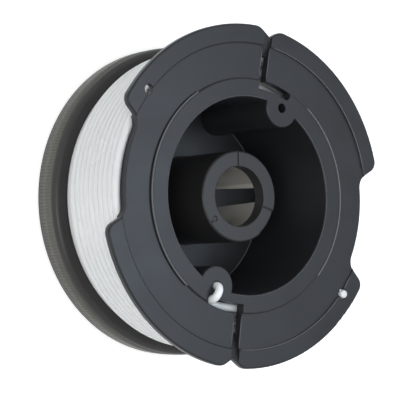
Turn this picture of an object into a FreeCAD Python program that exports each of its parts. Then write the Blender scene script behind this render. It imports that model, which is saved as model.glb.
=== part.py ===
"""Replacement line spool of a garden string trimmer, wound with clear nylon line.

Millimetres. +Z is the spool's axis, from the rear rim that it stands on to the slotted
front flange. The origin is the centre of the rear rim. +X and +Y lie in the flange's
plane, and angles are counted from +X, counterclockwise as seen from the front.

The spool is two mouldings. The upper one is the front flange with the winding drum and
its two ears. The lower one is the rear flange with its rim, the floor and the hub.
The nylon line is one piece, kept as its inner layers, its outer layer and its tied end.
"""
import FreeCAD, Part
import math
import os

Vec = FreeCAD.Vector
AXIS = Vec(0, 0, 1)
SAME = 0.001            # points nearer than this are one point

# Overall sizes
spool_h = 28.75         # rear rim to front face
symmetry = (0.0, 180.0)  # the front flange repeats after half a turn
past = 1.0              # how far a cutting body runs past what it cuts
bite = 1.0              # how far a rib or floor runs into the wall that carries it

# Nylon line
line_d = 1.65
line_play = 0.1         # between the wound line and the plastic
wind_depth = 9.3        # depth of line on the drum
turn_gap = 0.45         # between the turns of the outer layer
shoulder_rise = 3.2     # height of the sloped rear shoulder of the inner layers
shoulder_depth = 2.15   # how far that shoulder draws in
climb_angle = 12.0      # stretch in which the line climbs to the outer layer
climb_bite = 0.3        # how deep that stretch lies in the shoulder
hook_bend_r = 1.7       # bend of the free end into its rim hole
end_proud = 0.3         # free end over the front face
end_drift = 70.0        # last stretch, where the line drifts out to its rim hole
loop_sink = 0.1         # start of the tied end's loop, below the front face
tied_depth = 6.0        # tied end inside its ear

# Front flange
flange_t = 2.2
tab_over = 3.8          # tabs of the flange, outside the winding
lip_t = 1.35            # flange outside the recessed band
front_round = 0.4       # moulded edge of the tabs
edge_bevel = 0.2        # small bevels beside the band and round the drum's opening
band_in = 2.0           # recessed band, from so far outside the drum
band_out = 0.1          # to so far inside the winding's edge
band_depth = 0.45
cut_depth = 5.1         # two long side cuts, from the flange's edge to their bottom
cut_foot_angles = (327.5, 363.0)
cut_mouth_angles = (324.2, 366.3)
cut_foot_round = 3.0
cut_mouth_round = 2.2
flank_stretch = 3.0     # lengths of its flank over which a cut runs out past the edge
slot_angles = (76.0, 258.0)  # line slots, two degrees off opposite
slot_play = 0.25        # slot over the line
notch_shift = -0.9      # bottom of a lead-in notch, from the angle of its slot
notch_sides = (-4.6, 3.9)  # its two sides at the flange's edge, from the same angle
notch_depth = 1.85
notch_round = 3.0
ramp_length = 4.0       # sloped floor of a slot, from its notch inwards
ramp_high = 0.3         # depth of that floor below the front face at the notch
ramp_low = 1.7          # and at its inner end, where the slot goes right through
leg_play = 0.25         # slot leg over the line
leg_rim = 0.2           # strip between the drum and the slot leg
leg_end_angle = 60.0
rim_hole_angle = 135.7
rim_hole_play = 0.45
rim_hole_out = 0.5      # rim hole outside the winding

# Drum with its two ears
drum_r = 21.9
drum_wall = 1.8
drum_draft = 0.4        # how much the drum's inside narrows down to the floor
ear_angle = 60.0
ear_r = 4.0
ear_hole_play = 0.3
ear_hole_depth = 19.0

# Rear flange, rim and floor
plate_z = 6.75          # winding side of the rear flange
foot_seat = 0.9         # depth of the recess that locates the drum's foot
foot_play = 0.1
web_t = 1.8
rim_over = 1.5          # rear flange, outside the winding
rim_t = 1.8
rim_round = 1.2
rim_foot = 0.3          # small bevel where the rim stands
rib_count = 6
rib_t = 1.2
rib_z = 1.2             # lower edge of the ribs over the rim's foot
rib_angle = 30.0

# Hub
bore_r = 6.2
hub_wall = 3.15
hub_z = 25.3            # front end of the hub
hub_foot_z = 1.2        # rear end of the hub
hub_bevel = 0.3
counter_step = 1.7      # how much wider the bore is behind the floor
keyway_w = 4.0          # tapered slot in the hub's wall, at its rear end
keyway_top_w = 2.9
keyway_below = 2.7      # end of that slot, below the hub's front end
weld_w = 0.35           # moulding marks in the hub's front ring: two fine lines
weld_depth = 0.25
weld_angles = (87.0, 337.0)
gate_angle = 212.0      # a round gate mark with its short line
gate_d = 1.1
step_angles = (300.0, 337.0)  # and a stretch where the ring's edge stands back
step_in = 0.5
step_z = 0.8

# Sizes that follow from those above
wind_r = drum_r + wind_depth
front_r = wind_r + tab_over
rear_r = wind_r + rim_over
hub_r = bore_r + hub_wall
counter_r = bore_r + counter_step
keyway_z = hub_z - keyway_below
under_z = spool_h - flange_t
band_in_r = drum_r + band_in
band_out_r = wind_r - band_out
beyond_r = 1.3 * front_r
cut_r = front_r - cut_depth
notch_r = front_r - notch_depth
drum_in_r = drum_r - drum_wall
floor_z = plate_z - foot_seat
slot_w = line_d + slot_play
leg_w = line_d + leg_play
leg_r = drum_r + leg_rim + leg_w / 2
ear_hole_d = line_d + ear_hole_play
rim_hole_d = line_d + rim_hole_play
rim_hole_r = wind_r + rim_hole_out
turn_r = wind_r - line_d / 2
core_r = wind_r - line_d - line_play
turn_pitch = line_d + turn_gap
core_low_z = plate_z + line_play
core_high_z = under_z - line_play


def at(radius, angle, z=0.0):
    """Point at a radius and an angle in degrees about the axis."""
    a = math.radians(angle)
    return Vec(radius * math.cos(a), radius * math.sin(a), z)


def disc(radius, low, high, centre=Vec(0, 0, 0)):
    """Cylinder along +Z between two heights."""
    return Part.makeCylinder(radius, high - low, Vec(centre.x, centre.y, low), AXIS)


def ring(inner, outer, low, high):
    """Flat ring between two radii and two heights."""
    return disc(outer, low, high).cut(disc(inner, low, high))


def turned(points, angle=360.0, start=0.0):
    """Solid of revolution of a closed outline of (radius, height) points."""
    outline = Part.makePolygon([Vec(r, 0, z) for r, z in points + points[:1]])
    solid = Part.Face(outline).revolve(Vec(0, 0, 0), AXIS, angle)
    solid.rotate(Vec(0, 0, 0), AXIS, start)
    return solid


def plan_solid(points, low, high):
    """Prism over a closed plan outline."""
    outline = Part.makePolygon([Vec(p.x, p.y, low) for p in points + points[:1]])
    return Part.Face(outline).extrude(Vec(0, 0, high - low))


def upright_edges(solid, near):
    """Edges along +Z that stand at one of the given plan points."""
    found = []
    for edge in solid.Edges:
        first, last = edge.Vertexes[0].Point, edge.Vertexes[-1].Point
        if (first - last).cross(AXIS).Length > SAME or abs(first.z - last.z) < SAME:
            continue
        if any(math.hypot(first.x - p.x, first.y - p.y) < SAME for p in near):
            found.append(edge)
    return found


def side_cut(turn):
    """One side cut: a sector over the cut's bottom, widened out to its two flanks."""
    foot = [at(cut_r, a + turn) for a in cut_foot_angles]
    mouth = [at(front_r, a + turn) for a in cut_mouth_angles]
    spread = [f + (m - f) * flank_stretch for f, m in zip(foot, mouth)]
    wedge = plan_solid([foot[0], spread[0], spread[1], foot[1]], under_z, spool_h)
    low, high = cut_foot_angles
    sector = Part.makeCylinder(beyond_r, flange_t, Vec(0, 0, under_z), AXIS, high - low)
    sector.rotate(Vec(0, 0, 0), AXIS, low + turn)
    return wedge.fuse(sector).common(ring(cut_r, beyond_r, under_z, spool_h)), foot, mouth


def lead_in_notch(slot_angle):
    """Notch in the flange's edge that leads the line into its slot."""
    bottom = at(notch_r, slot_angle + notch_shift)
    sides = [at(front_r, slot_angle + side) for side in notch_sides]
    spread = [bottom + (s - bottom) * flank_stretch for s in sides]
    return plan_solid([bottom] + spread, under_z, spool_h), sides


def flange_plan():
    """Front flange's outline with its side cuts and lead-in notches, corners rounded."""
    plan = disc(front_r, under_z, spool_h)
    feet, mouths, lips = [], [], []
    for turn in symmetry:
        cut, foot, mouth = side_cut(turn)
        plan = plan.cut(cut)
        feet += foot
        mouths += mouth
    for slot_angle in slot_angles:
        notch, sides = lead_in_notch(slot_angle)
        plan = plan.cut(notch)
        lips += sides
    plan = plan.makeFillet(cut_foot_round, upright_edges(plan, feet))
    plan = plan.makeFillet(cut_mouth_round, upright_edges(plan, mouths))
    plan = plan.makeFillet(notch_round, upright_edges(plan, lips))
    rounded = [e for e in plan.Edges if min(v.Z for v in e.Vertexes) > spool_h - SAME]
    return plan.makeFillet(front_round, rounded)


def slot_run(slot_angle):
    """Straight part of a slot: a sloped floor from the notch, then right through."""
    low, high = under_z - past, spool_h + past
    ramp_r = notch_r - ramp_length
    floor_low = spool_h - ramp_low
    steepness = (ramp_low - ramp_high) / ramp_length
    floor_high = floor_low + steepness * (front_r - ramp_r)
    side = [Vec(leg_r, 0, low), Vec(ramp_r, 0, low), Vec(ramp_r, 0, floor_low),
            Vec(front_r, 0, floor_high), Vec(front_r, 0, high), Vec(leg_r, 0, high)]
    run = Part.Face(Part.makePolygon(side + side[:1])).extrude(Vec(0, slot_w, 0))
    run.translate(Vec(0, -slot_w / 2, 0))
    run.rotate(Vec(0, 0, 0), AXIS, slot_angle)
    return run


def slot_leg(slot_angle, turn):
    """Leg of a slot round the drum, with the hole at its end."""
    low, high = under_z - past, spool_h + past
    end_angle = leg_end_angle + turn
    half_slot = math.degrees(slot_w / 2 / leg_r)
    leg = turned([(leg_r - leg_w / 2, low), (leg_r + leg_w / 2, low),
                  (leg_r + leg_w / 2, high), (leg_r - leg_w / 2, high)],
                 slot_angle + half_slot - end_angle, end_angle)
    return leg.fuse(disc(leg_w / 2, low, high, at(leg_r, end_angle)))


def band_recess():
    """Cutting body of the recessed band, with a bevel along both of its edges."""
    bottom, edge, high = spool_h - band_depth, spool_h - edge_bevel, spool_h + past
    widened = edge_bevel + past
    return turned([(band_in_r, bottom), (band_out_r, bottom), (band_out_r, edge),
                   (band_out_r + widened, high), (band_in_r - widened, high),
                   (band_in_r, edge)])


def ear(turn):
    """Half-round ear of the flange, which goes down inside the drum to the floor."""
    centre = at(drum_in_r, ear_angle + turn)
    edge_z = spool_h - edge_bevel
    bevel = Part.makeCone(ear_r, ear_r - edge_bevel, edge_bevel, centre + AXIS * edge_z, AXIS)
    post = disc(ear_r, floor_z, edge_z, centre).fuse(bevel)
    return post.common(disc(drum_r - drum_wall / 2, floor_z, spool_h))


def ear_hole(turn):
    """Blind hole in an ear, which takes the line's end."""
    return disc(ear_hole_d / 2, spool_h - ear_hole_depth, spool_h + past,
                at(drum_in_r, ear_angle + turn))


def make_flanged_drum():
    """Front flange and drum in one moulding."""
    body = flange_plan().cut(band_recess())
    body = body.cut(ring(band_out_r, beyond_r, under_z - past, spool_h - lip_t))
    body = body.fuse(disc(drum_r, floor_z, under_z))
    floor_in_r = drum_in_r - drum_draft
    inside = Part.makeCone(floor_in_r, drum_in_r, spool_h - floor_z, Vec(0, 0, floor_z), AXIS)
    widened = edge_bevel + past
    bevel = Part.makeCone(drum_in_r, drum_in_r + widened, widened,
                          Vec(0, 0, spool_h - edge_bevel), AXIS)
    body = body.cut(inside).cut(bevel)
    for turn in symmetry:
        body = body.fuse(ear(turn))
    for turn, slot_angle in zip(symmetry, slot_angles):
        body = body.cut(ear_hole(turn))
        body = body.cut(slot_run(slot_angle)).cut(slot_leg(slot_angle, turn))
        rim_hole = disc(rim_hole_d / 2, under_z - past, spool_h + past,
                        at(rim_hole_r, rim_hole_angle + turn))
        body = body.cut(rim_hole)
    return body.removeSplitter()


def rear_shell():
    """Rear flange, rim and floor, with a rounded front edge on the rim."""
    seat_r = drum_r + foot_play
    rise = plate_z - rim_round
    corner = Vec(rear_r - rim_round, 0, rise)
    slant = rim_round * math.sqrt(0.5)
    corners = [
        (hub_r - bite, floor_z - web_t),
        (seat_r + web_t, floor_z - web_t),
        (seat_r + web_t, plate_z - web_t),
        (rear_r - rim_t, plate_z - web_t),
        (rear_r - rim_t, 0),
        (rear_r - rim_foot, 0),
        (rear_r, rim_foot),
        (rear_r, rise),
    ]
    closing = [
        (rear_r - rim_round, plate_z),
        (seat_r, plate_z),
        (seat_r, floor_z),
        (hub_r - bite, floor_z),
        (hub_r - bite, floor_z - web_t),
    ]
    edges = [Part.LineSegment(Vec(a[0], 0, a[1]), Vec(b[0], 0, b[1])).toShape()
             for a, b in zip(corners, corners[1:])]
    bend = Part.Arc(Vec(rear_r, 0, rise), corner + Vec(slant, 0, slant),
                    Vec(rear_r - rim_round, 0, plate_z))
    edges.append(bend.toShape())
    edges += [Part.LineSegment(Vec(a[0], 0, a[1]), Vec(b[0], 0, b[1])).toShape()
              for a, b in zip(closing, closing[1:])]
    return Part.Face(Part.Wire(edges)).revolve(Vec(0, 0, 0), AXIS, 360)


def rear_rib(number):
    """One stiffening rib under the rear flange, from the hub to the rim."""
    length = rear_r - rim_t / 2 - (hub_r - bite)
    rib = Part.makeBox(length, rib_t, plate_z - web_t / 2 - rib_z,
                       Vec(hub_r - bite, -rib_t / 2, rib_z))
    rib = rib.cut(disc(drum_r + foot_play + web_t / 2, floor_z - web_t / 2, spool_h))
    rib.rotate(Vec(0, 0, 0), AXIS, rib_angle + number * 360.0 / rib_count)
    return rib


def hub_tube():
    """Outside of the hub, with a bevelled front edge."""
    return turned([(0, hub_foot_z), (hub_r, hub_foot_z), (hub_r, hub_z - hub_bevel),
                   (hub_r - hub_bevel, hub_z), (0, hub_z)])


def keyway():
    """Tapered slot through the hub's wall, open to the drum's hollow."""
    half_low, half_top = keyway_w / 2, keyway_top_w / 2
    outline = [Vec(0, half_low, floor_z), Vec(0, half_top, keyway_z),
               Vec(0, -half_top, keyway_z), Vec(0, -half_low, floor_z)]
    face = Part.Face(Part.makePolygon(outline + outline[:1]))
    return face.extrude(Vec(hub_r + past, 0, 0))


def weld_line(inner, angle):
    """Cutting body of a fine line in the hub's front ring, out past the ring's edge."""
    line = Part.makeBox(hub_r + past - inner, weld_w, weld_depth + past,
                        Vec(inner, -weld_w / 2, hub_z - weld_depth))
    line.rotate(Vec(0, 0, 0), AXIS, angle)
    return line


def hub_marks():
    """Moulding marks of the hub's front ring, as cutting bodies."""
    middle = (bore_r + hub_r) / 2
    first, last = step_angles
    gate = disc(gate_d / 2, hub_z - weld_depth, hub_z + past, at(middle, gate_angle))
    step = turned([(hub_r - step_in, hub_z - step_z), (hub_r + past, hub_z - step_z),
                   (hub_r + past, hub_z + past), (hub_r - step_in, hub_z + past)],
                  last - first, first)
    lines = [weld_line(bore_r - past, angle) for angle in weld_angles]
    return lines + [weld_line(middle, gate_angle), gate, step]


def make_hub_base():
    """Rear flange, rim, floor, ribs and hub in one moulding."""
    body = rear_shell().fuse(hub_tube())
    for number in range(rib_count):
        body = body.fuse(rear_rib(number))
    body = body.cut(disc(bore_r, 0, spool_h))
    body = body.cut(disc(counter_r, 0, floor_z))
    body = body.cut(keyway())
    for mark in hub_marks():
        body = body.cut(mark)
    return body.removeSplitter()


def free_end_angle():
    """Angle at which the outer layer starts its bend into the rim hole."""
    return rim_hole_angle + 180.0 - math.degrees(hook_bend_r / rim_hole_r)


def outer_layer_turns():
    """Turns that the outer layer has room for, in whole quarters."""
    low = core_low_z + line_d / 2
    below_hook = spool_h + end_proud - line_d - hook_bend_r
    below_flange = core_high_z - line_d / 2
    room = min(below_hook, below_flange) - low
    return math.floor(4 * room / turn_pitch) / 4.0


def start_angle():
    """Angle at which the outer layer begins."""
    return free_end_angle() - 360.0 * outer_layer_turns()


def make_inner_layers():
    """Inner layers of the winding as one plain body, with the climb to the outer layer."""
    inner = drum_r + line_play
    core = turned([(inner, core_low_z), (core_r - shoulder_depth, core_low_z),
                   (core_r, core_low_z + shoulder_rise), (core_r, core_high_z),
                   (inner, core_high_z)])
    climb_in = core_r - shoulder_depth - climb_bite
    climb_out = shoulder_turn_r() + line_d / 2
    climb_high = core_low_z + line_d
    climb = turned([(climb_in, core_low_z), (climb_out, core_low_z),
                    (climb_out, climb_high), (climb_in, climb_high)],
                   climb_angle, start_angle() - climb_angle)
    return core.fuse(climb).removeSplitter()


def shoulder_turn_r():
    """Radius of the outer layer's first turn, which lies on the sloped shoulder."""
    slope = math.atan2(shoulder_depth, shoulder_rise)
    clear = (line_d / 2 + line_play) / math.cos(slope)
    height = line_d / 2
    return core_r - shoulder_depth + clear + height * math.tan(slope)


def outer_layer_point(turns):
    """Place and direction on the outer layer after so many turns from its start."""
    total = outer_layer_turns()
    drift = end_drift / 360.0
    first_r = shoulder_turn_r()
    if turns < 1:
        radius, radius_rate = first_r + (turn_r - first_r) * turns, turn_r - first_r
    elif turns < total - drift:
        radius, radius_rate = turn_r, 0.0
    else:
        share = (turns - total + drift) / drift
        ease = share * share * (3 - 2 * share)
        ease_rate = 6 * share * (1 - share) / drift
        radius = turn_r + (rim_hole_r - turn_r) * ease
        radius_rate = (rim_hole_r - turn_r) * ease_rate
    angle = start_angle() + 360.0 * turns
    place = at(radius, angle, core_low_z + line_d / 2 + turn_pitch * turns)
    outward, round_about = at(1, angle), at(1, angle + 90)
    rate = outward * radius_rate + round_about * (2 * math.pi * radius) + AXIS * turn_pitch
    return place, rate.normalize()


def arc_to(first, tip, last):
    """Arc from first to last whose two end tangents meet at tip."""
    middle = (first + last) * 0.5
    half = (last - first).Length / 2
    lean = math.acos(min(1.0, half / (tip - first).Length))
    crown = (tip - middle).normalize() * (half * math.tan(lean / 2))
    return Part.Arc(first, middle + crown, last).toShape()


def biarc(first, first_way, last, last_way):
    """Two arcs that join two places and keep the direction at both."""
    span = last - first
    both = first_way + last_way
    open_part = 2 * (1 - first_way.dot(last_way))
    reach = span.dot(both)
    root = math.sqrt(reach * reach + open_part * span.dot(span))
    length = (root - reach) / open_part
    join = (first + last + (first_way - last_way) * length) * 0.5
    return [arc_to(first, first + first_way * length, join),
            arc_to(join, last - last_way * length, last)]


def tube(edges, first, way):
    """Round line along a chain of edges."""
    section = Part.Wire(Part.Circle(first, way, line_d / 2).toShape())
    return Part.Wire(edges).makePipeShell([section], True, False)


def make_outer_layer():
    """Outer layer of turns, from its climb to the free end in its rim hole."""
    quarters = round(4 * outer_layer_turns())
    stations = [outer_layer_point(q / 4.0) for q in range(quarters + 1)]
    place, way = stations[0]
    level_way = Vec(way.x, way.y, 0).normalize()
    lead = place - level_way * line_d
    edges = [Part.LineSegment(lead, place).toShape()]
    stations[0] = (place, level_way)
    place, way = stations[-1]
    flat_way = at(1, free_end_angle() + 90)
    stations[-1] = (place, flat_way)
    for (p, p_way), (q, q_way) in zip(stations, stations[1:]):
        edges += biarc(p, p_way, q, q_way)
    place = stations[-1][0]
    corner = place + flat_way * hook_bend_r
    rise = corner + AXIS * hook_bend_r
    edges.append(arc_to(place, corner, rise))
    tip = Vec(rise.x, rise.y, spool_h + end_proud)
    edges.append(Part.LineSegment(rise, tip).toShape())
    report_gap(stations)
    return tube(edges, lead, level_way)


def report_gap(stations):
    """Prints the least gap between turns, measured on points along the outer layer."""
    per_turn, nearby = 72, 6
    total = outer_layer_turns()
    count = int(total * per_turn) + 1
    points = [outer_layer_point(i / float(per_turn))[0] for i in range(count)]
    least = min((points[i] - points[j]).Length
                for i in range(count)
                for j in range(i + per_turn - nearby, min(i + per_turn + nearby, count)))
    print("outer layer:", total, "turns, least gap to itself", round(least - line_d, 3), "mm")


def make_tied_end():
    """Start of the line: out of the winding, over the flange and down into an ear."""
    half_turn = symmetry[1]
    up = at(leg_r, leg_end_angle + half_turn, core_high_z)
    down = at(drum_in_r, ear_angle + half_turn, 0)
    across = Vec(down.x - up.x, down.y - up.y, 0)
    bend_r = across.Length / 2
    bend_z = spool_h - loop_sink
    first = Vec(up.x, up.y, bend_z)
    last = Vec(down.x, down.y, bend_z)
    crown = (first + last) * 0.5 + AXIS * bend_r
    bottom = Vec(down.x, down.y, spool_h - tied_depth)
    edges = [Part.LineSegment(up, first).toShape(),
             Part.Arc(first, crown, last).toShape(),
             Part.LineSegment(last, bottom).toShape()]
    return tube(edges, up, AXIS)


nodes = {
    "flanged_drum": make_flanged_drum,
    "hub_base": make_hub_base,
    "line_inner_layers": make_inner_layers,
    "line_outer_layer": make_outer_layer,
    "line_tied_end": make_tied_end,
}

os.makedirs("parts", exist_ok=True)
for name, make in nodes.items():
    shape = make()
    solids = shape.Solids
    shape = solids[0] if len(solids) == 1 else Part.makeCompound(solids)
    print(name, "solids", len(solids), "valid", shape.isValid(), "volume", round(shape.Volume, 1),
          "faces", len(shape.Faces))
    shape.exportStep("parts/" + name + ".step")
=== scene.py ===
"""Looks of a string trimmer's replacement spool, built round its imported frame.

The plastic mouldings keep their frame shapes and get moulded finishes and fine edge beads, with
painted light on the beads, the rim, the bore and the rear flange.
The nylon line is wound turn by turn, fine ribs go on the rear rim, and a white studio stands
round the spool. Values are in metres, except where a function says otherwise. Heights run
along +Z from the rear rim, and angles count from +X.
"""
import math

import bpy
import numpy as np
from bpy.props import (FloatProperty, FloatVectorProperty, IntProperty, PointerProperty,
                       StringProperty)
from mathutils import Matrix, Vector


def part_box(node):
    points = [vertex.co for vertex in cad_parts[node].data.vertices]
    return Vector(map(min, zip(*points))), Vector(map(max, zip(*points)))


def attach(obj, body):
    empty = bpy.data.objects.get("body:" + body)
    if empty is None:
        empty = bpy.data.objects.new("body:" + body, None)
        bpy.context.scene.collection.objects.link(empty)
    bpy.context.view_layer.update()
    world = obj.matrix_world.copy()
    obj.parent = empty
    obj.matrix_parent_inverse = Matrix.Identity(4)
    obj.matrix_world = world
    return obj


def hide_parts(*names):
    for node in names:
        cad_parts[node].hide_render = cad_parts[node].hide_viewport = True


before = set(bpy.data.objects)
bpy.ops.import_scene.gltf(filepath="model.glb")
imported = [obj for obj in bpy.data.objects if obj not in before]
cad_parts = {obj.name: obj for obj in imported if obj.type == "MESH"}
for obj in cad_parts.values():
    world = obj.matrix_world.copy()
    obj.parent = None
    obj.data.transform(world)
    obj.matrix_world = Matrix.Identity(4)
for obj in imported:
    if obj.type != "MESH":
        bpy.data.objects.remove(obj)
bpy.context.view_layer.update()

bl_info = {
    "name": "Trimmer Line Spool",
    "version": (1, 0, 0),
    "blender": (4, 5, 0),
    "location": "View3D > Sidebar > Line Spool",
    "description": "Moulded spool wound with clear nylon line, in a white studio",
    "category": "Object",
}

BODY = "root"
MM = 0.001


def heights_of(node):
    """Lowest and highest point of a frame node along the spool's axis."""
    low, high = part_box(node)
    return low.z, high.z


def reach_of(node):
    """Largest radius of a frame node, taken on +X."""
    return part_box(node)[1].x


FRONT_Z = heights_of("flanged_drum")[1]
WOUND_LOW_Z = heights_of("line_inner_layers")[0]
WOUND_R = reach_of("line_outer_layer")
RIM_R = reach_of("hub_base")

# Share of each turn in which the line steps over to the next height
STEP_OVER = 0.2
# Turns that the line takes to climb from one layer to the next
CLIMB = 0.3


# Properties

class LineProperties(bpy.types.PropertyGroup):
    """Nylon line and how it is wound."""
    diameter: FloatProperty(
        name="Line diameter", description="Diameter of the nylon line",
        default=1.65 * MM, unit="LENGTH", precision=5)
    real_length: FloatProperty(
        name="Line length", description="Length of line that such a spool is sold with",
        default=9.14, unit="LENGTH")
    layers: IntProperty(
        name="Layers", description="Layers of turns between the flanges, an even number",
        default=6, min=4)
    layer_step: FloatProperty(
        name="Layer step", description="Radius that each layer adds on average",
        default=1.52 * MM, unit="LENGTH", precision=5)
    seen_step: FloatProperty(
        name="Seen layer step", description="Radius that each of the two outermost layers adds",
        default=1.56 * MM, unit="LENGTH", precision=5)
    outer_pitch: FloatProperty(
        name="Outer pitch", description="Spacing of the turns in the outer layer",
        default=1.69 * MM, unit="LENGTH", precision=5)
    inner_pitch: FloatProperty(
        name="Inner pitch", description="Spacing of the turns under the outer layer",
        default=1.78 * MM, unit="LENGTH", precision=5)
    hidden_drop: FloatProperty(
        name="Hidden drop", description="How far the middle layers stay below the front flange",
        default=3.0 * MM, unit="LENGTH", precision=5)
    shoulder_rise: FloatProperty(
        name="Shoulder rise", description="How much higher the outer layer starts at the rear",
        default=1.4 * MM, unit="LENGTH", precision=5)
    shoulder_sink: FloatProperty(
        name="Shoulder sink", description="How far the layer below presses into the rear corner",
        default=0.55 * MM, unit="LENGTH", precision=5)
    corner_rise: FloatProperty(
        name="Corner rise", description="How far out that layer's rearmost turn is wedged",
        default=0.55 * MM, unit="LENGTH", precision=5)
    first_gap: FloatProperty(
        name="First gap", description="Gap beside the rearmost turn of the outer layer",
        default=0.1 * MM, unit="LENGTH", precision=5)
    flange_thickness: FloatProperty(
        name="Flange thickness", description="Front flange that the top turns lie against",
        default=2.2 * MM, unit="LENGTH", precision=5)
    wobble: FloatProperty(
        name="Wobble", description="How far turns wander from an even spacing",
        default=0.03 * MM, unit="LENGTH", precision=6)
    end_drift: FloatProperty(
        name="End drift", description="How far the last turn moves out to the rim hole",
        default=1.2 * MM, unit="LENGTH", precision=5)
    colour: StringProperty(
        name="Nylon colour", description="Clear nylon, as an sRGB hex value", default="#EDF0EF")


class PlasticProperties(bpy.types.PropertyGroup):
    """Colours and grain of the two mouldings."""
    front_colour: StringProperty(
        name="Front colour", description="Front moulding, as an sRGB hex value",
        default="#27282B")
    # Painted highlight: the beads' pale colour stands in for the light that their rounded edges
    # catch
    edge_highlight_colour: StringProperty(
        name="Edge colour", description="Fine edge beads, painted pale as highlights",
        default="#5F5F61")
    rear_colour: StringProperty(
        name="Rear colour", description="Rear moulding, as an sRGB hex value",
        default="#2E2E2F")
    # Painted light: pale colour for the reflection in the bore, a highlight strip beside its
    # slot and light on the rear flange
    bore_and_flange_light: StringProperty(
        name="Bore colour", description="Painted light in the hub's bore, beside its slot and on the rear flange",
        default="#B0ADA5")
    # Painted light: the rim's paler colour stands in for the light that it catches from the side
    rim_light_colour: StringProperty(
        name="Rim colour", description="Ribbed rim, painted paler for the light it catches",
        default="#686762")
    grain: FloatProperty(
        name="Grain", description="Size of the matt grain that the mould leaves",
        default=0.4 * MM, unit="LENGTH", precision=5)
    cloud: FloatProperty(
        name="Cloud", description="Size of the faint flow marks in the plastic",
        default=9.0 * MM, unit="LENGTH", precision=4)
    edge_radius: FloatProperty(
        name="Edge radius", description="Rounding that the mould leaves on sharp edges",
        default=0.3 * MM, unit="LENGTH", precision=5)
    bead: FloatProperty(
        name="Bead", description="Radius of the fine bead along moulded and welded edges",
        default=0.14 * MM, unit="LENGTH", precision=5)
    faint_bead: FloatProperty(
        name="Faint bead", description="Radius of the bead along the sharper edges",
        default=0.1 * MM, unit="LENGTH", precision=5)
    shine: FloatProperty(
        name="Shine", description="Strength of the plastic's reflections, 0.5 is plain",
        default=0.2, min=0, max=1)
    roughness: FloatProperty(
        name="Roughness", description="Softness of the plastic's reflections",
        default=0.33, min=0, max=1)


class RimProperties(bpy.types.PropertyGroup):
    """Fine ribs round the rear rim."""
    ribs: IntProperty(
        name="Ribs", description="Fine ribs round the rear rim", default=300, min=12)
    rib_height: FloatProperty(
        name="Rib height", description="How far the ribs stand out of the rim",
        default=0.06 * MM, unit="LENGTH", precision=6)
    low_z: FloatProperty(
        name="Lower end", description="Height at which the ribs begin",
        default=0.45 * MM, unit="LENGTH", precision=5)
    high_z: FloatProperty(
        name="Upper end", description="Height at which the ribs end",
        default=WOUND_LOW_Z - 1.35 * MM, unit="LENGTH", precision=5)


class StudioProperties(bpy.types.PropertyGroup):
    """Camera, lamps and white surroundings."""
    camera_place: FloatVectorProperty(
        name="Camera place", description="Where the camera stands",
        default=(-0.21447, -0.00013, 0.30550), subtype="TRANSLATION", precision=5)
    camera_tilt: FloatProperty(
        name="Camera tilt", description="Angle between the view and the spool's axis",
        default=0.6303, subtype="ANGLE", precision=4)
    camera_roll: FloatProperty(
        name="Camera roll", description="Turn of the camera about its own view",
        default=-0.0772, subtype="ANGLE", precision=4)
    camera_lens: FloatProperty(
        name="Lens", description="Focal length on a 36 mm sensor",
        default=155.7, subtype="DISTANCE_CAMERA")
    surroundings: FloatProperty(
        name="Surroundings", description="Strength of the even light from all round",
        default=0.5, min=0)
    overhead_power: FloatProperty(
        name="Overhead power", description="Power of the softbox overhead", default=0.50,
        subtype="POWER")
    overhead_place: FloatVectorProperty(
        name="Overhead place", description="Where the softbox overhead hangs",
        default=(0.10, 0.0, 0.32), subtype="TRANSLATION")
    overhead_width: FloatProperty(
        name="Overhead width", description="Side of the square softbox overhead",
        default=0.16, unit="LENGTH")
    overhead_colour: StringProperty(
        name="Overhead colour", description="Cool daylight, as an sRGB hex value",
        default="#DDEEFF")
    beside_power: FloatProperty(
        name="Beside power", description="Power of the softbox beside the winding",
        default=1.3, subtype="POWER")
    beside_place: FloatVectorProperty(
        name="Beside place", description="Where the softbox beside the winding stands",
        default=(-0.42, -0.05, 0.50), subtype="TRANSLATION")
    beside_width: FloatProperty(
        name="Beside width", description="Side of the square softbox beside the winding",
        default=0.25, unit="LENGTH")
    beside_colour: StringProperty(
        name="Beside colour", description="Neutral white, as an sRGB hex value",
        default="#FFFFFF")
    floor_colour: StringProperty(
        name="Floor colour", description="White paper, as an sRGB hex value",
        default="#E6E6E6")
    floor_glow: FloatProperty(
        name="Floor glow", description="Light of the floor that only the camera and gloss see",
        default=0.55, min=0)


# Colours and nodes

def linear(hex_colour):
    """Linear RGBA of an sRGB hex value."""
    parts = [int(hex_colour[i:i + 2], 16) / 255 for i in (1, 3, 5)]
    return tuple(c / 12.92 if c <= 0.04045 else ((c + 0.055) / 1.055) ** 2.4
                 for c in parts) + (1.0,)


def add_node(tree, kind, settings=None, inputs=None):
    """Adds one node. Inputs are socket values, or the sockets that they are linked from."""
    node = tree.nodes.new(kind)
    for name, value in (settings or {}).items():
        setattr(node, name, value)
    for name, value in (inputs or {}).items():
        if isinstance(value, bpy.types.NodeSocket):
            tree.links.new(value, node.inputs[name])
        else:
            node.inputs[name].default_value = value
    return node


def new_material(name):
    """Empty node material with its output."""
    material = bpy.data.materials.new(name)
    material.use_nodes = True
    tree = material.node_tree
    tree.nodes.clear()
    output = add_node(tree, "ShaderNodeOutputMaterial")
    return material, tree, output


def wear(piece, material):
    """Gives a piece one material."""
    piece.data.materials.clear()
    piece.data.materials.append(material)


# Materials

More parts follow.
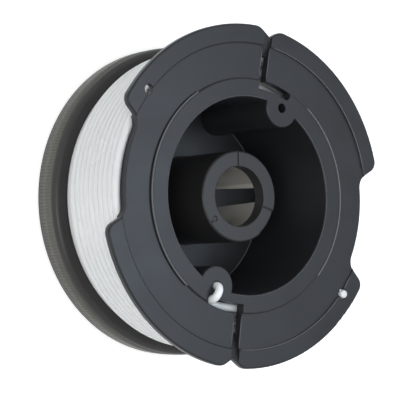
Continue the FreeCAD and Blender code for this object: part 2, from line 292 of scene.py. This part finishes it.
def painted_light_on_bore_and_flange(tree, place, tone, pale):
    """Painted light on the rear moulding: a paler colour stands in for the white that the hub's
    bore reflects below its plain front end, brightest as a painted highlight strip beside its
    tapered slot, and for faint light on the rear flange, growing outwards. Each share fades over
    a short range of radius, height or distance from the strip's middle."""
    bore_r, bore_fade = 6.21 * MM, 0.03 * MM
    pale_top, top_fade = 22.3 * MM, 0.2 * MM
    strip_y, strip_half, strip_fade, beside_strip = 1.2 * MM, 1.2 * MM, 0.1 * MM, 0.62
    flange_r, flange_fade, flange_share = 24.0 * MM, 4.0 * MM, 0.045
    flat = add_node(tree, "ShaderNodeVectorMath", {"operation": "MULTIPLY"}, {
        0: place, 1: (1.0, 1.0, 0.0)})
    radius = add_node(tree, "ShaderNodeVectorMath", {"operation": "LENGTH"}, {
        0: flat.outputs["Vector"]}).outputs["Value"]
    bore = add_node(tree, "ShaderNodeMapRange", inputs={
        "Value": radius, "From Min": bore_r, "From Max": bore_r + bore_fade,
        "To Min": 1.0, "To Max": 0.0})
    places = add_node(tree, "ShaderNodeSeparateXYZ", inputs={"Vector": place})
    deep = add_node(tree, "ShaderNodeMapRange", inputs={
        "Value": places.outputs["Z"], "From Min": pale_top, "From Max": pale_top + top_fade,
        "To Min": 1.0, "To Max": 0.0})
    off_middle = add_node(tree, "ShaderNodeMath", {"operation": "SUBTRACT"}, {
        0: places.outputs["Y"], 1: strip_y})
    distance = add_node(tree, "ShaderNodeMath", {"operation": "ABSOLUTE"}, {
        0: off_middle.outputs[0]})
    strip = add_node(tree, "ShaderNodeMapRange", inputs={
        "Value": distance.outputs[0], "From Min": strip_half,
        "From Max": strip_half + strip_fade, "To Min": 1.0, "To Max": beside_strip})
    deep_bore = add_node(tree, "ShaderNodeMath", {"operation": "MULTIPLY"}, {
        0: bore.outputs["Result"], 1: deep.outputs["Result"]})
    pale_bore = add_node(tree, "ShaderNodeMath", {"operation": "MULTIPLY"}, {
        0: deep_bore.outputs[0], 1: strip.outputs["Result"]})
    flange = add_node(tree, "ShaderNodeMapRange", inputs={
        "Value": radius, "From Min": flange_r, "From Max": flange_r + flange_fade,
        "To Min": 0.0, "To Max": flange_share})
    share = add_node(tree, "ShaderNodeMath", {"operation": "MAXIMUM"}, {
        0: pale_bore.outputs[0], 1: flange.outputs["Result"]})
    return add_node(tree, "ShaderNodeMix", {"data_type": "RGBA"}, {
        "Factor": share.outputs[0], "A": tone, "B": linear(pale)}).outputs["Result"]


def moulded_abs(name, colour, plastic, pale=None):
    """Injection-moulded black ABS. The mould's spark-eroded face leaves it softly matt, with
    faint flow marks, and its edges are slightly round and catch the light."""
    darkest, lightest = 0.82, 1.22
    smoother, rougher = 0.05, 0.07
    grain_depth, grain_strength = 0.02 * MM, 0.12
    material, tree, output = new_material(name)
    place = add_node(tree, "ShaderNodeTexCoord").outputs["Object"]
    cloud = add_node(tree, "ShaderNodeTexNoise", inputs={
        "Vector": place, "Scale": 1 / plastic.cloud, "Detail": 4.0, "Roughness": 0.6})
    grain = add_node(tree, "ShaderNodeTexNoise", inputs={
        "Vector": place, "Scale": 1 / plastic.grain, "Detail": 2.0, "Roughness": 0.5})
    dark, light = [tuple(c * share for c in linear(colour)[:3]) + (1.0,)
                   for share in (darkest, lightest)]
    tone = add_node(tree, "ShaderNodeMix", {"data_type": "RGBA"}, {
        "Factor": cloud.outputs["Fac"], "A": dark, "B": light}).outputs["Result"]
    # Painted light: a pale colour given here lights the bore, the strip beside its slot and the
    # rear flange
    if pale:
        tone = painted_light_on_bore_and_flange(tree, place, tone, pale)
    matt = add_node(tree, "ShaderNodeMapRange", inputs={
        "Value": cloud.outputs["Fac"], "From Min": 0.3, "From Max": 0.7,
        "To Min": plastic.roughness - smoother, "To Max": plastic.roughness + rougher})
    edge = add_node(tree, "ShaderNodeBevel", {"samples": 6}, {"Radius": plastic.edge_radius})
    bump = add_node(tree, "ShaderNodeBump", inputs={
        "Strength": grain_strength, "Distance": grain_depth, "Height": grain.outputs["Fac"],
        "Normal": edge.outputs["Normal"]})
    shader = add_node(tree, "ShaderNodeBsdfPrincipled", inputs={
        "Base Color": tone, "Roughness": matt.outputs["Result"],
        "IOR": 1.53, "Specular IOR Level": plastic.shine, "Normal": bump.outputs["Normal"]})
    tree.links.new(shader.outputs["BSDF"], output.inputs["Surface"])
    return material


def extruded_nylon(name, colour):
    """Extruded clear monofilament nylon: smooth and milky, light spreads between its turns and
    leaves only soft long highlights."""
    haze_size, light_reach = 14 * MM, 2.0 * MM
    smoothest, roughest = 0.20, 0.32
    material, tree, output = new_material(name)
    place = add_node(tree, "ShaderNodeTexCoord").outputs["Object"]
    haze = add_node(tree, "ShaderNodeTexNoise", inputs={
        "Vector": place, "Scale": 1 / haze_size, "Detail": 2.0})
    rough = add_node(tree, "ShaderNodeMapRange", inputs={
        "Value": haze.outputs["Fac"], "To Min": smoothest, "To Max": roughest})
    shader = add_node(tree, "ShaderNodeBsdfPrincipled", inputs={
        "Base Color": linear(colour), "Roughness": rough.outputs["Result"], "IOR": 1.53,
        "Subsurface Weight": 1.0, "Subsurface Radius": (1.0, 1.0, 1.0),
        "Subsurface Scale": light_reach})
    tree.links.new(shader.outputs["BSDF"], output.inputs["Surface"])
    return material


def seen_directly(tree, unseen, seen):
    """One strength for rays from the camera, off gloss and through anything clear, and another
    for the light that reaches a matt surface."""
    path = add_node(tree, "ShaderNodeLightPath")
    mirrored = add_node(tree, "ShaderNodeMath", {"operation": "MAXIMUM"}, {
        0: path.outputs["Is Camera Ray"], 1: path.outputs["Is Glossy Ray"]})
    direct = add_node(tree, "ShaderNodeMath", {"operation": "MAXIMUM"}, {
        0: mirrored.outputs[0], 1: path.outputs["Is Transmission Ray"]})
    return add_node(tree, "ShaderNodeMapRange", inputs={
        "Value": direct.outputs[0], "To Min": unseen, "To Max": seen}).outputs["Result"]


def studio_white(name, base, glow):
    """White paper sweep. The camera and mirror-like rays see it lit to plain white."""
    material, tree, output = new_material(name)
    shader = add_node(tree, "ShaderNodeBsdfPrincipled", inputs={
        "Base Color": linear(base), "Roughness": 0.9, "Specular IOR Level": 0.0,
        "Emission Color": (1.0, 1.0, 1.0, 1.0),
        "Emission Strength": seen_directly(tree, 0.0, glow)})
    tree.links.new(shader.outputs["BSDF"], output.inputs["Surface"])
    return material


# Surfaces

def put_in_scene(name, data):
    """Object of a mesh, curve, lamp or camera, linked to the scene."""
    piece = bpy.data.objects.new(name, data)
    bpy.context.scene.collection.objects.link(piece)
    return piece


def smooth_piece(name, points, faces):
    """Piece of points and faces. Faces with four corners are smooth and the others flat."""
    mesh = bpy.data.meshes.new(name)
    mesh.from_pydata(points, [], faces)
    corners = np.empty(len(mesh.polygons), np.int32)
    mesh.polygons.foreach_get("loop_total", corners)
    mesh.polygons.foreach_set("use_smooth", corners == 4)
    mesh.update()
    return put_in_scene(name, mesh)


def polar(radius, angle, height):
    """Points at radii, angles in radians and heights, as one array with x, y, z last."""
    radius, angle, height = np.broadcast_arrays(radius, angle, height)
    return np.stack([radius * np.cos(angle), radius * np.sin(angle), height], axis=-1)


def smooth_step(share):
    """Rise from 0 to 1 that is level at both ends: three times the share's square less twice
    its cube, with the share kept from 0 to 1."""
    share = np.clip(share, 0, 1)
    return share * share * (3 - 2 * share)


def ring_piece(name, points):
    """Closed surface over a grid of points that joins up both ways. The first way runs round
    the axis and the second round the ring's section."""
    around, section = points.shape[:2]
    first = np.arange(around * section).reshape(around, section)
    beside = np.roll(first, -1, axis=0)
    quads = np.stack([first, beside, np.roll(beside, -1, axis=1), np.roll(first, -1, axis=1)],
                     axis=-1)
    return smooth_piece(name, points.reshape(-1, 3), quads.reshape(-1, 4))


def bead_piece(name, beads):
    """Thin round beads along level paths, as one piece. Each bead is a path of points and a
    size. Its surface is a circle of that size, carried along the path at right angles to it,
    with a flat end at both ends."""
    sides = 8
    turn = np.arange(sides)[:, None] * math.tau / sides
    upwards = np.array([0.0, 0.0, 1.0])
    points, faces, count = [], [], 0
    for path, size in beads:
        along = np.gradient(path, axis=0)
        across = np.stack([along[:, 1], -along[:, 0], along[:, 2] * 0], axis=-1)
        across /= np.linalg.norm(across, axis=1, keepdims=True)
        circle = np.cos(turn) * across[:, None] + np.sin(turn) * upwards
        points.append((path[:, None] + size * circle).reshape(-1, 3))
        first = count + np.arange(len(path) * sides).reshape(-1, sides)
        beside = np.roll(first, -1, axis=1)
        quads = np.stack([first[:-1], first[1:], beside[1:], beside[:-1]], axis=-1)
        faces += quads.reshape(-1, 4).tolist() + [first[0].tolist(), first[-1, ::-1].tolist()]
        count += first.size
    return smooth_piece(name, np.concatenate(points), faces)


# Route of the line

def lowest_turn(line):
    """Height of the turns that lie against the rear flange."""
    return WOUND_LOW_Z + line.diameter / 2


def highest_turn(line):
    """Height of the turns that lie against the front flange."""
    clear = 0.05 * MM
    return FRONT_Z - line.flange_thickness - clear - line.diameter / 2


def layer_plan(line):
    """Turns counted from the line's start, radii and heights at the two ends of each layer.

    The radius grows evenly up to the two outermost layers, which add the seen step each. The
    heights run from flange to flange and turn back in the next layer. The middle layers stay
    below the front flange, the outer layer starts higher at the rear, and the layer below it
    presses into the rear corner."""
    radii, heights, turns = [], [], [0.0]
    outer = line.layers - 1
    outermost = WOUND_R - line.diameter / 2
    for layer in range(line.layers):
        radius = np.interp(layer, [0, outer - 2, outer], [
            outermost - outer * line.layer_step, outermost - 2 * line.seen_step, outermost])
        rise = {outer: line.shoulder_rise, outer - 1: -line.shoulder_sink}.get(layer, 0)
        low = lowest_turn(line) + rise
        high = highest_turn(line) - (line.hidden_drop if 0 < layer < outer else 0)
        pitch = line.outer_pitch if layer == outer else line.inner_pitch
        radii += [radius, radius]
        heights += [high, low] if layer % 2 == 0 else [low, high]
        turns += [turns[-1] + (high - low) / pitch]
        turns += [turns[-1] + CLIMB]
    return np.array(turns[:-1]), radii, heights


def winding_route(line):
    """Control points of the whole line, from its tied end to its free end.

    Along the turns the angle grows by one circle a turn. A turn lies level and steps over to
    the next height on the +X side, by a smooth step a fifth of a turn long. Those heights run
    evenly from end to end of each layer and turn back, and the radius steps out by one layer
    in the short climb between two layers. A small product of two sines of the turns makes the
    spacing a little uneven. In the rear corner the last turn under the outer layer is wedged
    outwards, and the outer layer's first turn lies lower by a gap, which closes after one
    turn. No turn lies lower than the rear flange lets it, and the last one drifts outwards to
    its rim hole."""
    start, finish = math.radians(252.0), math.radians(306.0)
    first, beyond = start / math.tau, (finish - start) / math.tau
    turns, radii, heights = layer_plan(line)
    whole = round(turns[-1] - beyond) + beyond
    turns *= whole / turns[-1]
    per_turn = 24
    along = np.linspace(0, whole, int(round(whole * per_turn)) + 1)

    # The smooth curve runs inside its control points, at this share of their radius
    inside = (3 + math.cos(math.tau / per_turn)) / 4
    wedge_starts, wedge_is_full = 1.6, 1.1
    plain, wedged = radii[-3], radii[-3] + line.corner_rise
    radii[-3] = wedged
    wedge = turns[-3] - np.array([wedge_starts, wedge_is_full])
    radius = np.interp(along, np.insert(turns, -3, wedge),
                       np.insert(radii, -3, [plain, wedged]))
    drift = line.end_drift * smooth_step((along - whole + STEP_OVER) / STEP_OVER)
    radius = radius / inside + drift

    # Turns are counted from +X here, where each of them steps over to the next height
    from_x = along + first
    passed = np.round(from_x)
    step = smooth_step((from_x - passed) / STEP_OVER + 0.5)
    height = np.interp(passed - 1 + finish / math.tau + step - first, turns, heights)
    quick_wave, slow_wave = 2.3, math.tau * 0.37
    height += line.wobble * np.sin(along * quick_wave) * np.sin(along * slow_wave)
    closed = round(turns[-2] + 1 + first) - first
    in_outer = along > turns[-2] - CLIMB
    height -= line.first_gap * in_outer * smooth_step((closed - along) / STEP_OVER)
    clear = 0.02 * MM
    height = np.maximum(height, lowest_turn(line) + clear)
    coil = polar(radius, start + along * math.tau, height)
    return np.concatenate([tied_end_route(), coil, free_end_route(line)])


def route_points(steps):
    """Control points from steps of radius in millimetres, angle in degrees and height above
    the front face in millimetres."""
    return np.array([polar(radius * MM, math.radians(angle), FRONT_Z + rise * MM)
                     for radius, angle, rise in steps])


def tied_end_route():
    """Control points of the line's start: out of the ear's hole, over, down into the slot's
    leg, and from there, with the last three points, down and round into the first turn. They
    are in millimetres and degrees, and heights count from the front face."""
    hole_r, leg_r, angle = 20.1, 23.05, 240.0
    tucked_in, mouth, top, corner = -6.0, -0.9, 1.38, 0.86
    return route_points([
        (hole_r, angle, tucked_in),
        (hole_r, angle, tucked_in / 2),
        (hole_r, angle, mouth),
        (hole_r, angle, top - corner),
        (hole_r + corner, angle, top),
        (leg_r - corner, angle, top),
        (leg_r, angle, top - corner),
        (leg_r, angle, mouth),
        (leg_r, angle + 0.8, -2.0),
        (leg_r, angle + 3.5, -2.8),
        (leg_r - 0.1, angle + 8.5, -3.1),
    ])


def free_end_route(line):
    """Control points of the line's end, which turns up through its rim hole. They are in
    millimetres and degrees, and heights count from the front face."""
    hole_r, angle, cut_end = 31.7, 315.7, 0.3
    turn = (highest_turn(line) - FRONT_Z) / MM
    return route_points([
        (hole_r - 0.05, angle - 4.86, turn),
        (hole_r, angle - 2.01, turn),
        (hole_r, angle, turn + 1.11),
        (hole_r, angle, turn + 2.7),
        (hole_r, angle, cut_end),
    ])


# Operators

class SPOOL_OT_line(bpy.types.Operator):
    """Wind the nylon line on the drum, from its tied end to its free end"""
    bl_idname = "spool.line"
    bl_label = "Nylon Line"

    def execute(self, context):
        line = context.scene.spool_line
        route = winding_route(line)
        curve = bpy.data.curves.new("nylon_line", "CURVE")
        curve.dimensions = "3D"
        spline = curve.splines.new("NURBS")
        spline.points.add(len(route) - 1)
        spline.points.foreach_set("co", np.c_[route, np.ones(len(route))].ravel())
        spline.order_u = 3
        spline.use_endpoint_u = True
        spline.resolution_u = 4
        spline.use_smooth = True
        curve.bevel_depth = line.diameter / 2
        curve.bevel_resolution = 3
        curve.use_fill_caps = True
        piece = put_in_scene("nylon_line", curve)
        wear(piece, extruded_nylon("extruded_nylon", line.colour))
        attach(piece, BODY)
        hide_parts("line_inner_layers", "line_outer_layer", "line_tied_end")
        # The route's third point is the one at the mouth of the ear's hole
        return {"FINISHED"}


class SPOOL_OT_front_moulding(bpy.types.Operator):
    """Finish the front flange and its drum, with the fine beads that the mould leaves along
    the edges of its face and where the drum is welded to its floor"""
    bl_idname = "spool.front_moulding"
    bl_label = "Front Moulding"

    def execute(self, context):
        plastic = context.scene.spool_plastic
        wear(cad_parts["flanged_drum"],
             moulded_abs("moulded_abs_front", plastic.front_colour, plastic))
        beads = bead_piece("edge_beads", bead_paths(plastic))
        # The beads' pale colour is a painted highlight along the edges
        wear(beads, moulded_abs("moulded_abs_edge_highlights", plastic.edge_highlight_colour, plastic))
        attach(beads, BODY)
        return {"FINISHED"}


def bead_paths(plastic):
    """Paths and sizes of the beads: the inner ring's edge, the lip's edge, the drum's opening,
    its weld at the floor, and both sides of the two slots. They stop at the slots, the rim
    holes, the side cuts and the ears. Places are in millimetres here, and arcs in degrees,
    with a point about every two degrees."""
    below_face, below_band_edge, floor = 0.05, 0.47, 5.9
    face, band = FRONT_Z / MM - below_face, FRONT_Z / MM - below_band_edge
    ring_r, ring_arcs = 23.96, [(-48, 46), (117, 224)]
    lip_r, lip_arcs = 31.16, [(7, 73), (260.5, 313.5), (317.8, 323)]
    opening_r, opening_arcs = 20.3, [(73, 227), (253, 407)]
    weld_r, weld_arcs, low_weld_arcs = 19.66, [(73, 227), (290, 407)], [(253, 290)]
    ring_size, low_weld_size = plastic.bead * 1.4, plastic.bead * 1.5
    opening_size = plastic.faint_bead * 0.7
    places = [(ring_r, face, ring_size, ring_arcs),
              (lip_r, face, plastic.faint_bead, lip_arcs),
              (opening_r, face, opening_size, opening_arcs),
              (weld_r, floor, plastic.bead, weld_arcs),
              (weld_r, floor, low_weld_size, low_weld_arcs)]
    beads = []
    for radius, height, size, arcs in places:
        for low, high in arcs:
            count = max(4, int(high - low) // 2) + 1
            angle = np.radians(np.linspace(low, high, count))
            beads.append((polar(radius * MM, angle, height * MM), size))
    slot_angles, half_slot, slot_inner, slot_outer = (76.0, 258.0), 0.97, 24.5, 30.7
    along = np.linspace(slot_inner, slot_outer, 5)
    for slot_angle in slot_angles:
        for side in (-half_slot, half_slot):
            angle = math.radians(slot_angle) + np.arctan2(side, along)
            path = polar(np.hypot(along, side) * MM, angle, band * MM)
            beads.append((path, plastic.faint_bead))
    return beads


class SPOOL_OT_rear_moulding(bpy.types.Operator):
    """Finish the rear flange, rim and hub, and cut the fine ribs round the rim"""
    bl_idname = "spool.rear_moulding"
    bl_label = "Rear Moulding"

    def execute(self, context):
        plastic = context.scene.spool_plastic
        # The rear moulding's pale colour is painted light in the bore and on the rear flange
        wear(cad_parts["hub_base"],
             moulded_abs("moulded_abs_rear", plastic.rear_colour, plastic,
                         plastic.bore_and_flange_light))
        ribs = rim_ribs(context.scene.spool_rim)
        # The rim's paler colour is painted light
        wear(ribs, moulded_abs("moulded_abs_lit_rim", plastic.rim_light_colour, plastic))
        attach(ribs, BODY)
        return {"FINISHED"}


def rim_ribs(rim):
    """Thin ribbed sleeve on the rear rim. The radius is the rim's plus a raised cosine of the
    angle, one wave a rib, which fades out at the sleeve's two ends."""
    per_rib, fade_share, skin = 6, 0.14, 0.015 * MM
    angle = np.arange(rim.ribs * per_rib) * math.tau / (rim.ribs * per_rib)
    lower = np.array([0.0, 0.06, fade_share])
    share = np.concatenate([lower, [0.5], 1 - lower[::-1]])
    fade = np.minimum(1, np.minimum(share, 1 - share) / fade_share)
    wave = 0.5 + 0.5 * np.cos(rim.ribs * angle)
    outside = RIM_R + skin + rim.rib_height * wave[:, None] * fade[None, :]
    height = rim.low_z + (rim.high_z - rim.low_z) * share
    under = RIM_R - skin * 2
    radius = np.concatenate([outside, np.full((len(angle), 2), under)], axis=1)
    heights = np.concatenate([height, [rim.high_z, rim.low_z]])
    return ring_piece("rim_ribs", polar(radius, angle[:, None], heights[None, :]))


class SPOOL_OT_studio(bpy.types.Operator):
    """Set up the white floor, the lamps, the surroundings and the camera"""
    bl_idname = "spool.studio"
    bl_label = "Studio"

    def execute(self, context):
        studio = context.scene.spool_studio
        white_floor(studio)
        white_surroundings(context.scene, studio)
        softboxes(studio)
        place_camera(context.scene, studio)
        context.scene.view_settings.view_transform = "Standard"
        return {"FINISHED"}


def white_floor(studio):
    """Large white floor, a hair's breadth under the rear rim."""
    half, under = 1.5, -0.05 * MM
    corners = [(-half, -half, under), (half, -half, under), (half, half, under),
               (-half, half, under)]
    mesh = bpy.data.meshes.new("studio_floor")
    mesh.from_pydata(corners, [], [(0, 1, 2, 3)])
    floor = put_in_scene("studio_floor", mesh)
    wear(floor, studio_white("studio_white", studio.floor_colour, studio.floor_glow))


def white_surroundings(scene, studio):
    """Even white light from all round, which the camera and reflections see as plain white."""
    world = bpy.data.worlds.new("white_surroundings")
    scene.world = world
    world.use_nodes = True
    tree = world.node_tree
    tree.nodes.clear()
    light = add_node(tree, "ShaderNodeBackground", inputs={
        "Color": (1.0, 1.0, 1.0, 1.0),
        "Strength": seen_directly(tree, studio.surroundings, 1.0)})
    output = add_node(tree, "ShaderNodeOutputWorld")
    tree.links.new(light.outputs["Background"], output.inputs["Surface"])


def softboxes(studio):
    """A cool softbox overhead, which the left of the front face mirrors, and a neutral one
    beside the winding, both aimed at the spool."""
    aimed_softbox("softbox_overhead", studio.overhead_place, studio.overhead_width,
                  studio.overhead_power, studio.overhead_colour)
    aimed_softbox("softbox_beside", studio.beside_place, studio.beside_width,
                  studio.beside_power, studio.beside_colour)


def aimed_softbox(name, place, width, power, colour):
    """Square area lamp that faces the spool."""
    lamp = bpy.data.lights.new(name, "AREA")
    lamp.shape = "SQUARE"
    lamp.size = width
    lamp.energy = power
    lamp.color = linear(colour)[:3]
    holder = put_in_scene(name, lamp)
    holder.location = place
    aim = -holder.location
    holder.rotation_euler = aim.to_track_quat("-Z", "Y").to_euler()


def place_camera(scene, studio):
    """Camera at the photographed angle: tilted off the spool's axis, then rolled."""
    camera = bpy.data.cameras.new("camera")
    camera.lens = studio.camera_lens
    camera.sensor_width = 36.0
    camera.clip_start = 0.01
    holder = put_in_scene("camera", camera)
    holder.location = studio.camera_place
    tilt, roll = studio.camera_tilt, studio.camera_roll
    side = (math.cos(tilt), 0.0, math.sin(tilt))
    back = (-math.sin(tilt), 0.0, math.cos(tilt))
    turn = np.array([[math.cos(roll), -math.sin(roll)], [math.sin(roll), math.cos(roll)]])
    plain = np.array([side, (0.0, 1.0, 0.0)])
    right, up = turn.T @ plain
    holder.rotation_euler = Matrix(np.array([right, up, back]).T.tolist()).to_euler()
    scene.camera = holder


class SPOOL_PT_panel(bpy.types.Panel):
    """Steps that dress the spool, with their sizes and colours"""
    bl_label = "Line Spool"
    bl_idname = "SPOOL_PT_panel"
    bl_space_type = "VIEW_3D"
    bl_region_type = "UI"
    bl_category = "Line Spool"

    def draw(self, context):
        for step, group in STEPS:
            column = self.layout.column(align=True)
            column.operator(step)
            settings = getattr(context.scene, group)
            for name in settings.__annotations__:
                column.prop(settings, name)


GROUPS = {
    "spool_line": LineProperties,
    "spool_plastic": PlasticProperties,
    "spool_rim": RimProperties,
    "spool_studio": StudioProperties,
}
STEPS = [
    ("spool.front_moulding", "spool_plastic"),
    ("spool.rear_moulding", "spool_rim"),
    ("spool.line", "spool_line"),
    ("spool.studio", "spool_studio"),
]
CLASSES = [LineProperties, PlasticProperties, RimProperties, StudioProperties,
           SPOOL_OT_line, SPOOL_OT_front_moulding, SPOOL_OT_rear_moulding, SPOOL_OT_studio,
           SPOOL_PT_panel]


def register():
    """Registers the classes and puts their settings on the scene."""
    for kind in CLASSES:
        bpy.utils.register_class(kind)
    for name, kind in GROUPS.items():
        setattr(bpy.types.Scene, name, PointerProperty(type=kind))


def unregister():
    """Takes the settings and the classes away again."""
    for name in GROUPS:
        delattr(bpy.types.Scene, name)
    for kind in reversed(CLASSES):
        bpy.utils.unregister_class(kind)


def main():
    """Dresses the spool step by step."""
    register()
    bpy.ops.spool.front_moulding()
    bpy.ops.spool.rear_moulding()
    bpy.ops.spool.line()
    bpy.ops.spool.studio()


if __name__ == "__main__":
    main()
